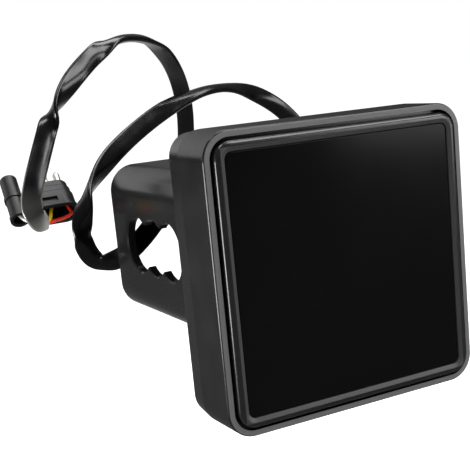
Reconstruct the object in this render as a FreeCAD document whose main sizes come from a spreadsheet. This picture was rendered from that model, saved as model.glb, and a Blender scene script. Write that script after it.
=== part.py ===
import FreeCAD, Part
import math
import os
import Sketcher

# A brake light that plugs a nominal 2 inch hitch receiver. The part's Y axis is the axis of
# its square shank, +Z is up and -Y is the lit face. The origin is on the shank's axis, in the
# shoulder that stops against the receiver. "Forward" is a distance from that shoulder
# towards the lit face, so a place at forward F has y = -F. All sizes are in millimetres.

SIZES = [
    # the face and the two halves of the housing
    ("face_side", 80.5),
    ("face_corner", 7.5),
    ("front_depth", 15.3),
    ("rear_depth", 8.0),
    ("rear_inset", 1.0),
    ("rear_edge_round", 1.0),
    ("front_edge_round", 0.6),
    ("rim_wall", 1.75),
    ("front_wall", 2.2),
    ("plate_thickness", 3.0),
    # the bezel, its seat and the lens in it
    ("bezel_seat_depth", 3.2),
    ("ledge_thickness", 2.0),
    ("ledge_reach", 5.0),
    ("bezel_gap", 0.9),
    ("bezel_width", 2.7),
    ("bezel_stand", 1.5),
    ("bezel_round", 1.2),
    ("bezel_slope_width", 1.1),
    ("bezel_slope_drop", 0.5),
    ("bezel_lip_reach", 1.7),
    ("bezel_lip_thickness", 1.4),
    ("lens_thickness", 2.0),
    ("lens_clearance", 0.2),
    ("lens_edge_round", 0.3),
    ("lens_gasket_thickness", 0.6),
    ("lens_gasket_width", 1.3),
    # the joint between the halves
    ("tongue_clearance", 0.2),
    ("tongue_thickness", 1.5),
    ("tongue_reach", 3.0),
    ("seal_inset", 0.9),
    ("seal_width", 1.0),
    ("seal_height", 0.8),
    ("screw_inset", 8.25),
    ("rear_boss", 9.0),
    ("front_boss", 7.0),
    ("screw_hole", 3.2),
    ("screw_head_pocket", 6.4),
    ("screw_head_pocket_depth", 3.5),
    ("screw_pilot", 2.4),
    ("screw_pilot_depth", 8.0),
    ("screw_fit", 0.1),
    ("screw_head", 5.6),
    ("screw_head_height", 2.4),
    ("screw_length", 11.0),
    # the shank and its pin holes
    ("shank_side", 50.0),
    ("shank_corner", 9.0),
    ("shank_wall", 3.0),
    ("shank_length", 86.0),
    ("shank_edge_round", 0.8),
    ("pin_hole", 18.6),
    ("pin_hole_pitch", 12.4),
    ("pin_hole_from_end", 32.8),
    ("pin_hole_chamfer", 0.5),
    # the circuit board and what it carries
    ("board_margin", 9.25),
    ("board_corner", 2.0),
    ("board_clearance", 0.4),
    ("board_thickness", 1.6),
    ("standoff", 6.0),
    ("standoff_length", 9.0),
    ("board_screw_inset", 4.0),
    ("board_hole", 2.4),
    ("board_pilot", 1.9),
    ("board_pilot_depth", 6.0),
    ("board_screw_head", 4.2),
    ("board_screw_head_height", 1.6),
    ("board_screw_length", 6.5),
    ("led_edge", 8.5),
    ("led_base", 5.0),
    ("led_base_height", 1.6),
    ("led_dome", 4.2),
    ("led_neck", 0.6),
    ("resistor_long", 3.2),
    ("resistor_wide", 1.6),
    ("resistor_high", 0.6),
    ("resistor_place_x", 12.0),
    ("resistor_place_z", 9.0),
    ("diode_long", 4.5),
    ("diode_wide", 2.6),
    ("diode_high", 2.2),
    ("diode_place_z", 18.0),
    # the lead, its grommet and its wires
    ("lead_width", 7.0),
    ("lead_thickness", 3.0),
    ("lead_clearance", 0.15),
    ("grommet_hole", 11.0),
    ("grommet_fit", 0.1),
    ("grommet_flange", 14.0),
    ("grommet_inner_flange", 1.2),
    ("grommet_outer_flange", 1.5),
    ("grommet_nose", 4.5),
    ("grommet_nose_end", 8.8),
    ("wire", 1.5),
    ("wire_pitch", 1.8),
    ("wire_straight", 1.4),
    ("wire_end_straight", 2.4),
    ("pad_pitch", 4.0),
    # the flat plug, along its own Z axis from its wire end to its pins
    ("plug_long", 14.3),
    ("plug_wide", 16.2),
    ("plug_thick", 9.0),
    ("plug_centre", 12.6),
    ("plug_rim", 0.4),
    ("plug_rim_long", 1.6),
    ("plug_step", 0.45),
    ("plug_step_long", 3.1),
    ("plug_groove_long", 0.6),
    ("plug_groove_depth", 0.4),
    ("plug_edge_round", 1.2),
    ("plug_mouth_wall", 1.1),
    ("plug_mouth_depth", 6.0),
    ("plug_window_wide", 6.4),
    ("plug_window_long", 2.5),
    ("plug_window_place", 2.1),
    ("plug_window_offset", 1.6),
    ("plug_window_depth", 0.8),
    ("plug_web_thick", 5.0),
    ("plug_web_long", 9.0),
    ("barrel", 6.2),
    ("barrel_long", 20.4),
    ("barrel_band", 0.35),
    ("barrel_band_start", 9.5),
    ("barrel_band_long", 1.6),
    ("barrel_mouth", 4.6),
    ("barrel_mouth_depth", 4.0),
    ("barrel_bore", 4.0),
    ("barrel_bore_depth", 9.0),
    ("pin", 2.4),
    ("pin_pitch", 4.6),
    ("pin_stand", 6.3),
    ("pin_tail", 1.0),
    ("pin_fit", 0.05),
]

# The lead's route, from inside the housing to the plug. Its first points run straight out of
# the grommet and along the shank, and the rest are where the lead lies in the photograph.
LEAD_ROUTE = [
    (0, -5, 0),
    (0, 15.5, 0),
    (-1, 31, 11.5),
    (-9, 67, 16),
    (-13.5, 81, 2),
    (-20.5, 91, -8),
    (-28, 95, -10),
    (-32, 95.5, -6.5),
    (-35.5, 91.5, 1),
    (-34, 90.5, 11.5),
    (-27.5, 95.5, 20.5),
    (-8.5, 109, 32),
    (21.5, 125, 44),
    (51.5, 137, 48),
    (78.5, 142.5, 36.5),
    (94, 142, 15),
    (85, 153, -9.5),
    (60, 166, -11.5),
    (41, 167, 13),
    (39, 155, 38),
    (28, 138, 57),
    (12, 123, 68.5),
    (-8, 111.5, 69),
    (-24.5, 105, 58.5),
    (-36.5, 103, 45.5),
    (-43, 99, 33),
    (-49.5, 94, 21),
    (-51.5, 92.5, 13.5),
    (-50.5, 92, 9),
    (-48.5, 95, 6),
    (-45.5, 99.5, 7.5),
]

# The plug hangs behind the lead's end. This is the middle of its barrel's wire end, the way
# that its pins point and the way from its barrel to its shell.
PLUG_PLACE = (-52.5, 104.5, 9)
PLUG_PINS_POINT = (0.09, 0.78, 0.61)
PLUG_WIDTH_RUNS = (0.99, -0.14, 0.03)

# Each wire between the lead's end and the plug: its colour, its place across the lead in wire
# pitches, the bends on its way on the plug's own axes, and how many pin pitches from the
# middle of the shell its pin stands. The white wire goes to the barrel instead.
PLUG_WIRES = [
    ("red", 1.5, [(10.6, 3.0, -1.5), (14.6, 2.9, -0.95), (17.7, 1.7, 0.4)], 1),
    ("yellow", 0.5, [(10.2, 1.4, -1.3), (12.2, 1.5, 0.6)], 0),
    ("brown", -0.5, [(8.1, -1.2, -0.6)], -1),
    ("white", -1.5, [(7.2, -2.9, -1.0), (2.9, -1.8, -1.5)], None),
]

# The shape of every screw's head, as shares of its width or height: how much of it is
# straight, how wide its flat top is from the middle, and the cross that is sunk in it.
HEAD_STRAIGHT = 0.6
HEAD_TOP = 0.36
CROSS_REACH = 0.62
CROSS_WIDTH = 0.13
CROSS_DEPTH = 0.5
CROSS_ABOVE = 0.1

# The pins' pointed ends, as shares of their width.
TIP_LENGTH = 0.4
TIP_RADIUS = 0.3

doc = FreeCAD.newDocument("HitchBrakeLight")
sheet = doc.addObject("Spreadsheet::Sheet", "Sizes")
for row, (alias, value) in enumerate(SIZES, start=1):
    sheet.set("A%d" % row, alias)
    sheet.set("B%d" % row, str(value))
    sheet.setAlias("B%d" % row, alias)
doc.recompute()

RIM = "(Sizes.rear_depth + Sizes.front_depth)"
SEAT = "(Sizes.rear_depth + Sizes.front_depth - Sizes.bezel_seat_depth)"
LEDGE_BACK = "(Sizes.rear_depth + Sizes.front_depth - Sizes.bezel_seat_depth - Sizes.ledge_thickness)"
BEZEL_TOP = "(Sizes.rear_depth + Sizes.front_depth + Sizes.bezel_stand)"
BEZEL_SIDE = "(Sizes.face_side - 2 * Sizes.rim_wall - 2 * Sizes.bezel_gap)"
BEZEL_CORNER = "(Sizes.face_corner - Sizes.rim_wall - Sizes.bezel_gap)"
LENS_HOLE_SIDE = "(Sizes.face_side - 2 * Sizes.rim_wall - 2 * Sizes.bezel_gap - 2 * Sizes.bezel_width)"
LENS_HOLE_CORNER = "(Sizes.face_corner - Sizes.rim_wall - Sizes.bezel_gap - Sizes.bezel_width)"
LIP_FRONT = "(Sizes.rear_depth + Sizes.front_depth - Sizes.bezel_seat_depth + Sizes.bezel_lip_thickness)"
FRONT_CAVITY_SIDE = "(Sizes.face_side - 2 * Sizes.front_wall)"
FRONT_CAVITY_CORNER = "(Sizes.face_corner - Sizes.front_wall)"
TONGUE_SIDE = "(Sizes.face_side - 2 * Sizes.front_wall - 2 * Sizes.tongue_clearance)"
TONGUE_CORNER = "(Sizes.face_corner - Sizes.front_wall - Sizes.tongue_clearance)"
REAR_CAVITY_SIDE = (
    "(Sizes.face_side - 2 * Sizes.front_wall - 2 * Sizes.tongue_clearance"
    " - 2 * Sizes.tongue_thickness)"
)
REAR_CAVITY_CORNER = (
    "(Sizes.face_corner - Sizes.front_wall - Sizes.tongue_clearance - Sizes.tongue_thickness)"
)
SCREW_PITCH = "(Sizes.face_side - 2 * Sizes.screw_inset)"
BOARD_SIDE = "(Sizes.face_side - 2 * Sizes.board_margin)"
BOARD_SCREW_PITCH = "(Sizes.face_side - 2 * Sizes.board_margin - 2 * Sizes.board_screw_inset)"
LED_PITCH = "((Sizes.face_side - 2 * Sizes.board_margin - 2 * Sizes.led_edge) / 3)"
BOARD_BACK = "(Sizes.plate_thickness + Sizes.standoff_length)"
BOARD_FRONT = "(Sizes.plate_thickness + Sizes.standoff_length + Sizes.board_thickness)"

nodes = []


def size(expression):
    """The number that an expression of the sheet's sizes gives."""
    return float(sheet.evalExpression(expression))


def new_body(name):
    body = doc.addObject("PartDesign::Body", name)
    body.Label = name
    nodes.append(body)
    return body


def origin_part(body, role):
    return next(o for o in body.Origin.OriginFeatures if o.Role == role)


def new_sketch(body, name, plane, offset):
    sketch = body.newObject("Sketcher::SketchObject", name)
    sketch.AttachmentSupport = (origin_part(body, plane), [""])
    sketch.MapMode = "FlatFace"
    sketch.setExpression(".AttachmentOffset.Base.z", offset)
    return sketch


def bind(sketch, kind, places, expression):
    """A constraint whose value is an expression of the sheet's sizes."""
    number = sketch.addConstraint(Sketcher.Constraint(kind, *places, size(expression)))
    sketch.setExpression("Constraints[%d]" % number, expression)


def draw_square(sketch, side, corner):
    """A square with round corners, centred on the sketch's origin."""
    half = size(side) / 2
    r = size(corner)
    inner = half - r
    line = Part.LineSegment
    vec = FreeCAD.Vector
    ends = [
        (vec(-inner, half, 0), vec(inner, half, 0)),
        (vec(half, inner, 0), vec(half, -inner, 0)),
        (vec(inner, -half, 0), vec(-inner, -half, 0)),
        (vec(-half, -inner, 0), vec(-half, inner, 0)),
    ]
    first = sketch.GeometryCount
    lines = [sketch.addGeometry(line(a, b)) for a, b in ends]
    centres = [(inner, inner, 0), (inner, -inner, 1), (-inner, -inner, 2), (-inner, inner, 3)]
    arcs = []
    for x, y, turn in centres:
        start = math.radians(-90 * turn)
        circle = Part.Circle(vec(x, y, 0), vec(0, 0, 1), r)
        arcs.append(sketch.addGeometry(Part.ArcOfCircle(circle, start, start + math.pi / 2)))
    for i in range(4):
        after = lines[(i + 1) % 4]
        sketch.addConstraint(Sketcher.Constraint("Tangent", lines[i], 2, arcs[i], 2))
        sketch.addConstraint(Sketcher.Constraint("Tangent", arcs[i], 1, after, 1))
        if i > 0:
            sketch.addConstraint(Sketcher.Constraint("Equal", arcs[0], arcs[i]))
    sketch.addConstraint(Sketcher.Constraint("Horizontal", lines[0]))
    sketch.addConstraint(Sketcher.Constraint("Horizontal", lines[2]))
    sketch.addConstraint(Sketcher.Constraint("Vertical", lines[1]))
    sketch.addConstraint(Sketcher.Constraint("Vertical", lines[3]))
    sketch.addConstraint(Sketcher.Constraint("Symmetric", arcs[0], 3, arcs[2], 3, -1, 1))
    bind(sketch, "Radius", (arcs[0],), corner)
    bind(sketch, "DistanceX", (lines[3], 1, lines[1], 2), side)
    bind(sketch, "DistanceY", (lines[2], 1, lines[0], 2), side)
    return first


def draw_flat_hole(sketch, width, thickness, centre="0"):
    """A slot with round ends, wide along the sketch's X, centred on its X axis."""
    half = (size(width) - size(thickness)) / 2
    r = size(thickness) / 2
    x = size(centre)
    vec = FreeCAD.Vector
    top = sketch.addGeometry(Part.LineSegment(vec(x - half, r, 0), vec(x + half, r, 0)))
    bottom = sketch.addGeometry(Part.LineSegment(vec(x + half, -r, 0), vec(x - half, -r, 0)))
    up = vec(0, 0, 1)
    right = sketch.addGeometry(
        Part.ArcOfCircle(Part.Circle(vec(x + half, 0, 0), up, r), -math.pi / 2, math.pi / 2)
    )
    left = sketch.addGeometry(
        Part.ArcOfCircle(Part.Circle(vec(x - half, 0, 0), up, r), math.pi / 2, 3 * math.pi / 2)
    )
    for a, b, c, d in (
        (top, 2, right, 2),
        (right, 1, bottom, 1),
        (bottom, 2, left, 2),
        (left, 1, top, 1),
    ):
        sketch.addConstraint(Sketcher.Constraint("Tangent", a, b, c, d))
    sketch.addConstraint(Sketcher.Constraint("Horizontal", top))
    sketch.addConstraint(Sketcher.Constraint("PointOnObject", right, 3, -1))
    bind(sketch, "Radius", (right,), "(%s) / 2" % thickness)
    bind(sketch, "DistanceX", (left, 3, right, 3), "(%s) - (%s)" % (width, thickness))
    bind(sketch, "DistanceX", (-1, 1, right, 3), "(%s) + ((%s) - (%s)) / 2" % (centre, width, thickness))


def draw_circles(sketch, places, diameter):
    """Equal circles at the places given as pairs of expressions."""
    up = FreeCAD.Vector(0, 0, 1)
    made = []
    for x, y in places:
        centre = FreeCAD.Vector(size(x), size(y), 0)
        made.append(sketch.addGeometry(Part.Circle(centre, up, size(diameter) / 2)))
    bind(sketch, "Diameter", (made[0],), diameter)
    for i, (x, y) in enumerate(places):
        if i > 0:
            sketch.addConstraint(Sketcher.Constraint("Equal", made[0], made[i]))
        if size(x) == 0 and size(y) == 0:
            sketch.addConstraint(Sketcher.Constraint("Coincident", made[i], 3, -1, 1))
        elif size(y) == 0:
            sketch.addConstraint(Sketcher.Constraint("PointOnObject", made[i], 3, -1))
            bind(sketch, "DistanceX", (-1, 1, made[i], 3), x)
        else:
            bind(sketch, "DistanceX", (-1, 1, made[i], 3), x)
            bind(sketch, "DistanceY", (-1, 1, made[i], 3), y)


def corners(pitch):
    """The four corners of a square of that pitch, as pairs of expressions."""
    return [("%s%s / 2" % (a, pitch), "%s%s / 2" % (b, pitch)) for a in ("", "-") for b in ("", "-")]


def draw_box(sketch, left, right, low, high):
    """A rectangle between four expressions."""
    vec = FreeCAD.Vector
    x1, x2, y1, y2 = (size(e) for e in (left, right, low, high))
    points = [vec(x1, y1, 0), vec(x2, y1, 0), vec(x2, y2, 0), vec(x1, y2, 0)]
    made = [sketch.addGeometry(Part.LineSegment(points[i], points[(i + 1) % 4])) for i in range(4)]
    for i in range(4):
        sketch.addConstraint(Sketcher.Constraint("Coincident", made[i], 2, made[(i + 1) % 4], 1))
    for i in (0, 2):
        sketch.addConstraint(Sketcher.Constraint("Horizontal", made[i]))
        sketch.addConstraint(Sketcher.Constraint("Vertical", made[i + 1]))
    bind(sketch, "DistanceX", (-1, 1, made[0], 1), left)
    bind(sketch, "DistanceX", (-1, 1, made[0], 2), right)
    bind(sketch, "DistanceY", (-1, 1, made[0], 1), low)
    bind(sketch, "DistanceY", (-1, 1, made[1], 2), high)


def pad(body, sketch, length, backwards=False):
    feature = body.newObject("PartDesign::Pad", sketch.Name + "_pad")
    feature.Profile = sketch
    feature.setExpression("Length", length)
    feature.Reversed = backwards
    return feature


def pocket(body, sketch, depth, forwards=False):
    feature = body.newObject("PartDesign::Pocket", sketch.Name + "_pocket")
    feature.Profile = sketch
    feature.setExpression("Length", depth)
    feature.Reversed = forwards
    return feature


def square_sketch(body, name, forward, side, corner):
    sketch = new_sketch(body, name, "XZ_Plane", forward)
    draw_square(sketch, side, corner)
    return sketch


def circle_sketch(body, name, forward, places, diameter):
    sketch = new_sketch(body, name, "XZ_Plane", forward)
    draw_circles(sketch, places, diameter)
    return sketch


def loft(body, kind, name, first, second):
    feature = body.newObject("PartDesign::" + kind, name)
    feature.Profile = first
    feature.Sections = [second]
    feature.Ruled = True
    return feature


def edges_on_plane(feature, y):
    """The names of the feature's edges that lie in the plane across the part at y."""
    doc.recompute()
    names = []
    for number, edge in enumerate(feature.Shape.Edges, start=1):
        box = edge.BoundBox
        if abs(box.YMin - y) < 0.001 and abs(box.YMax - y) < 0.001:
            names.append("Edge%d" % number)
    return names


def round_edges(body, name, feature, names, radius):
    fillet = body.newObject("PartDesign::Fillet", name)
    fillet.Base = (feature, names)
    fillet.setExpression("Radius", radius)
    return fillet


def turn_forward(thing, x, forward, z):
    """Puts a primitive's Z axis along the part's -Y, with its base at a place of expressions."""
    thing.Placement = FreeCAD.Placement(
        FreeCAD.Vector(0, 0, 0), FreeCAD.Rotation(FreeCAD.Vector(1, 0, 0), 90)
    )
    thing.setExpression(".Placement.Base.x", x)
    thing.setExpression(".Placement.Base.y", "-(%s)" % forward)
    thing.setExpression(".Placement.Base.z", z)


def primitive(kind, name, **sizes):
    thing = doc.addObject("Part::" + kind, name)
    for key, expression in sizes.items():
        thing.setExpression(key, expression)
    return thing


def make_rear_shell():
    """The rear cover and the hollow shank, one moulding: the walls draw in towards the back."""
    body = new_body("rear_shell")
    back = square_sketch(
        body,
        "cover_back",
        "0",
        "Sizes.face_side - 2 * Sizes.rear_inset",
        "Sizes.face_corner - Sizes.rear_inset",
    )
    seam = square_sketch(body, "cover_seam", "Sizes.rear_depth", "Sizes.face_side", "Sizes.face_corner")
    cover = loft(body, "AdditiveLoft", "cover", back, seam)
    round_edges(body, "cover_edge", cover, edges_on_plane(cover, 0), "Sizes.rear_edge_round")
    tongue = square_sketch(body, "tongue", "Sizes.rear_depth", TONGUE_SIDE, TONGUE_CORNER)
    pad(body, tongue, "Sizes.tongue_reach")
    cavity = square_sketch(
        body,
        "rear_cavity",
        "Sizes.rear_depth + Sizes.tongue_reach",
        REAR_CAVITY_SIDE,
        REAR_CAVITY_CORNER,
    )
    pocket(body, cavity, "Sizes.rear_depth + Sizes.tongue_reach - Sizes.plate_thickness")
    groove = new_sketch(body, "seal_groove", "XZ_Plane", "Sizes.rear_depth")
    draw_square(
        groove,
        "Sizes.face_side - 2 * Sizes.seal_inset",
        "Sizes.face_corner - Sizes.seal_inset",
    )
    draw_square(
        groove,
        "Sizes.face_side - 2 * Sizes.seal_inset - 2 * Sizes.seal_width",
        "Sizes.face_corner - Sizes.seal_inset - Sizes.seal_width",
    )
    pocket(body, groove, "Sizes.seal_height")
    shank = square_sketch(body, "shank", "0", "Sizes.shank_side", "Sizes.shank_corner")
    shank_pad = pad(body, shank, "Sizes.shank_length", backwards=True)
    rear_end = size("Sizes.shank_length")
    round_edges(
        body, "shank_edge", shank_pad, edges_on_plane(shank_pad, rear_end), "Sizes.shank_edge_round"
    )
    bore = square_sketch(
        body,
        "shank_bore",
        "0",
        "Sizes.shank_side - 2 * Sizes.shank_wall",
        "Sizes.shank_corner - Sizes.shank_wall",
    )
    pocket(body, bore, "Sizes.shank_length")
    rear_bosses = circle_sketch(
        body, "rear_bosses", "Sizes.plate_thickness", corners(SCREW_PITCH), "Sizes.rear_boss"
    )
    pad(body, rear_bosses, "Sizes.rear_depth - Sizes.plate_thickness")
    standoffs = circle_sketch(
        body, "standoffs", "Sizes.plate_thickness", corners(BOARD_SCREW_PITCH), "Sizes.standoff"
    )
    pad(body, standoffs, "Sizes.standoff_length")
    screw_holes = circle_sketch(
        body, "screw_holes", "Sizes.rear_depth", corners(SCREW_PITCH), "Sizes.screw_hole"
    )
    pocket(body, screw_holes, "Sizes.rear_depth")
    heads = circle_sketch(
        body, "head_pockets", "0", corners(SCREW_PITCH), "Sizes.screw_head_pocket"
    )
    pocket(body, heads, "Sizes.screw_head_pocket_depth", forwards=True)
    pilots = circle_sketch(
        body, "board_pilots", BOARD_BACK, corners(BOARD_SCREW_PITCH), "Sizes.board_pilot"
    )
    pocket(body, pilots, "Sizes.board_pilot_depth")
    entry = circle_sketch(
        body, "lead_entry", "Sizes.plate_thickness", [("0", "0")], "Sizes.grommet_hole"
    )
    pocket(body, entry, "Sizes.plate_thickness")

    # Each pin hole goes through both side walls, with its outer edges chamfered. Three of
    # them overlap, so that the pin can be set at three depths.
    hole = new_sketch(body, "pin_hole", "XY_Plane", "0")
    hole.setExpression(
        ".AttachmentOffset.Base.y", "Sizes.shank_length - Sizes.pin_hole_from_end - Sizes.pin_hole_pitch"
    )
    outer = "(Sizes.shank_side / 2 + Sizes.pin_hole_chamfer)"
    inner = "(Sizes.shank_side / 2 - Sizes.pin_hole_chamfer)"
    wide = "(Sizes.pin_hole / 2 + 2 * Sizes.pin_hole_chamfer)"
    narrow = "(Sizes.pin_hole / 2)"
    x_out, x_in, y_wide, y_narrow = (size(e) for e in (outer, inner, wide, narrow))
    outline = [
        (-x_out, 0),
        (x_out, 0),
        (x_out, y_wide),
        (x_in, y_narrow),
        (-x_in, y_narrow),
        (-x_out, y_wide),
    ]
    count = len(outline)
    points = [FreeCAD.Vector(x, y, 0) for x, y in outline]
    made = [
        hole.addGeometry(Part.LineSegment(points[i], points[(i + 1) % count])) for i in range(count)
    ]
    for i in range(count):
        hole.addConstraint(Sketcher.Constraint("Coincident", made[i], 2, made[(i + 1) % count], 1))
    hole.addConstraint(Sketcher.Constraint("PointOnObject", made[0], 1, -1))
    hole.addConstraint(Sketcher.Constraint("Horizontal", made[0]))
    hole.addConstraint(Sketcher.Constraint("Horizontal", made[3]))
    hole.addConstraint(Sketcher.Constraint("Vertical", made[1]))
    hole.addConstraint(Sketcher.Constraint("Vertical", made[5]))
    bind(hole, "DistanceX", (made[0], 1, -1, 1), outer)
    bind(hole, "DistanceX", (-1, 1, made[0], 2), outer)
    bind(hole, "DistanceX", (-1, 1, made[3], 1), inner)
    bind(hole, "DistanceX", (made[3], 2, -1, 1), inner)
    bind(hole, "DistanceY", (-1, 1, made[3], 1), narrow)
    bind(hole, "DistanceY", (-1, 1, made[2], 1), wide)
    bind(hole, "DistanceY", (-1, 1, made[5], 1), wide)
    first_hole = body.newObject("PartDesign::Groove", "pin_hole_cut")
    first_hole.Profile = hole
    first_hole.ReferenceAxis = (hole, ["H_Axis"])
    first_hole.Angle = 360
    doc.recompute()
    holes = body.newObject("PartDesign::LinearPattern", "pin_holes")
    holes.Originals = [first_hole]
    holes.Direction = (origin_part(body, "Y_Axis"), [""])
    holes.setExpression("Length", "2 * Sizes.pin_hole_pitch")
    holes.Occurrences = 3
    body.Tip = holes
    return body


def make_front_housing():
    """The front frame of the housing: a rim, a deep seat for the bezel, a ledge and four bosses."""
    body = new_body("front_housing")
    block = square_sketch(body, "front_block", "Sizes.rear_depth", "Sizes.face_side", "Sizes.face_corner")
    block_pad = pad(body, block, "Sizes.front_depth")
    rim_y = -size(RIM)
    round_edges(
        body, "front_edge", block_pad, edges_on_plane(block_pad, rim_y), "Sizes.front_edge_round"
    )
    seat = square_sketch(
        body,
        "bezel_seat",
        RIM,
        "Sizes.face_side - 2 * Sizes.rim_wall",
        "Sizes.face_corner - Sizes.rim_wall",
    )
    pocket(body, seat, "Sizes.bezel_seat_depth")
    window = square_sketch(
        body,
        "ledge_window",
        SEAT,
        BEZEL_SIDE + " - 2 * Sizes.ledge_reach",
        "Sizes.face_corner / 2",
    )
    pocket(body, window, "Sizes.ledge_thickness")
    cavity = square_sketch(body, "front_cavity", LEDGE_BACK, FRONT_CAVITY_SIDE, FRONT_CAVITY_CORNER)
    pocket(body, cavity, LEDGE_BACK + " - Sizes.rear_depth")
    bosses = circle_sketch(
        body, "front_bosses", "Sizes.rear_depth", corners(SCREW_PITCH), "Sizes.front_boss"
    )
    pad(body, bosses, LEDGE_BACK + " - Sizes.rear_depth")
    pilots = circle_sketch(
        body, "screw_pilots", "Sizes.rear_depth", corners(SCREW_PITCH), "Sizes.screw_pilot"
    )
    pocket(body, pilots, "Sizes.screw_pilot_depth", forwards=True)
    return body


def make_bezel():
    """The raised glossy frame round the lens: round outside, sloped inside, with a lip below."""
    body = new_body("lens_bezel")
    block = square_sketch(body, "bezel_block", SEAT, BEZEL_SIDE, BEZEL_CORNER)
    block_pad = pad(body, block, "Sizes.bezel_seat_depth + Sizes.bezel_stand")
    top_y = -size(BEZEL_TOP)
    round_edges(body, "bezel_edge", block_pad, edges_on_plane(block_pad, top_y), "Sizes.bezel_round")
    seat = square_sketch(body, "lens_seat", BEZEL_TOP, LENS_HOLE_SIDE, LENS_HOLE_CORNER)
    pocket(body, seat, BEZEL_TOP + " - " + LIP_FRONT)
    opening = square_sketch(
        body,
        "lip_opening",
        LIP_FRONT,
        LENS_HOLE_SIDE + " - 2 * Sizes.bezel_lip_reach",
        LENS_HOLE_CORNER + " / 2",
    )
    pocket(body, opening, "Sizes.bezel_lip_thickness")
    slope_top = square_sketch(
        body,
        "slope_top",
        BEZEL_TOP,
        LENS_HOLE_SIDE + " + 2 * Sizes.bezel_slope_width",
        LENS_HOLE_CORNER + " + Sizes.bezel_slope_width",
    )
    slope_foot = square_sketch(
        body, "slope_foot", BEZEL_TOP + " - Sizes.bezel_slope_drop", LENS_HOLE_SIDE, LENS_HOLE_CORNER
    )
    loft(body, "SubtractiveLoft", "bezel_slope", slope_top, slope_foot)
    return body


def make_lens():
    """The smoked lens, a flat plate that drops into the bezel onto its gasket."""
    body = new_body("smoked_lens")
    lens_back = LIP_FRONT + " + Sizes.lens_gasket_thickness"
    side = LENS_HOLE_SIDE + " - 2 * Sizes.lens_clearance"
    corner = LENS_HOLE_CORNER + " - Sizes.lens_clearance"
    plate = square_sketch(body, "lens_plate", lens_back, side, corner)
    plate_pad = pad(body, plate, "Sizes.lens_thickness")
    front_y = -size(lens_back + " + Sizes.lens_thickness")
    round_edges(body, "lens_edge", plate_pad, edges_on_plane(plate_pad, front_y), "Sizes.lens_edge_round")
    gasket = new_body("lens_gasket")
    ring = new_sketch(gasket, "lens_gasket_ring", "XZ_Plane", LIP_FRONT)
    draw_square(ring, side, corner)
    draw_square(ring, side + " - 2 * Sizes.lens_gasket_width", corner + " / 2")
    pad(gasket, ring, "Sizes.lens_gasket_thickness")


def make_body_gasket():
    """The square seal in the groove between the two halves of the housing."""
    gasket = new_body("body_gasket")
    ring = new_sketch(
        gasket, "body_gasket_ring", "XZ_Plane", "Sizes.rear_depth - Sizes.seal_height"
    )
    draw_square(
        ring, "Sizes.face_side - 2 * Sizes.seal_inset", "Sizes.face_corner - Sizes.seal_inset"
    )
    draw_square(
        ring,
        "Sizes.face_side - 2 * Sizes.seal_inset - 2 * Sizes.seal_width",
        "Sizes.face_corner - Sizes.seal_inset - Sizes.seal_width",
    )
    pad(gasket, ring, "Sizes.seal_height")


def make_board():
    """The circuit board on its four standoffs, its corners notched round the front bosses."""
    body = new_body("circuit_board")
    plate = square_sketch(body, "board_plate", BOARD_BACK, BOARD_SIDE, "Sizes.board_corner")
    pad(body, plate, "Sizes.board_thickness")
    notches = circle_sketch(
        body,
        "board_notches",
        BOARD_FRONT,
        corners(SCREW_PITCH),
        "Sizes.front_boss + 2 * Sizes.board_clearance",
    )
    pocket(body, notches, "Sizes.board_thickness")
    holes = circle_sketch(
        body, "board_holes", BOARD_FRONT, corners(BOARD_SCREW_PITCH), "Sizes.board_hole"
    )
    pocket(body, holes, "Sizes.board_thickness")


def make_led(number, column, row):
    """One of the lamps: a square base with a neck and a dome, on the board's front."""
    name = "led_%02d" % number
    x = "%s * %s" % (column, LED_PITCH)
    z = "%s * %s" % (row, LED_PITCH)
    base = primitive(
        "Box",
        name + "_base",
        Length="Sizes.led_base",
        Width="Sizes.led_base",
        Height="Sizes.led_base_height",
    )
    turn_forward(base, x + " - Sizes.led_base / 2", BOARD_FRONT, z + " - Sizes.led_base / 2")
    neck = primitive(
        "Cylinder",
        name + "_neck",
        Radius="Sizes.led_dome / 2",
        Height="Sizes.led_base_height + Sizes.led_neck",
    )
    turn_forward(neck, x, BOARD_FRONT, z)
    dome = primitive("Sphere", name + "_dome", Radius="Sizes.led_dome / 2")
    dome.Angle1 = 0
    turn_forward(dome, x, BOARD_FRONT + " + Sizes.led_base_height + Sizes.led_neck", z)
    led = doc.addObject("Part::MultiFuse", name)
    led.Shapes = [base, neck, dome]
    led.Label = name
    nodes.append(led)


def make_chip(name, long, wide, high, x, z):
    """A small block soldered on the board's back, long side across."""
    chip = primitive("Box", name, Length=long, Width=wide, Height=high)
    chip.Label = name
    turn_forward(
        chip, "%s - %s / 2" % (x, long), "%s - %s" % (BOARD_BACK, high), "%s - %s / 2" % (z, wide)
    )
    nodes.append(chip)


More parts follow.
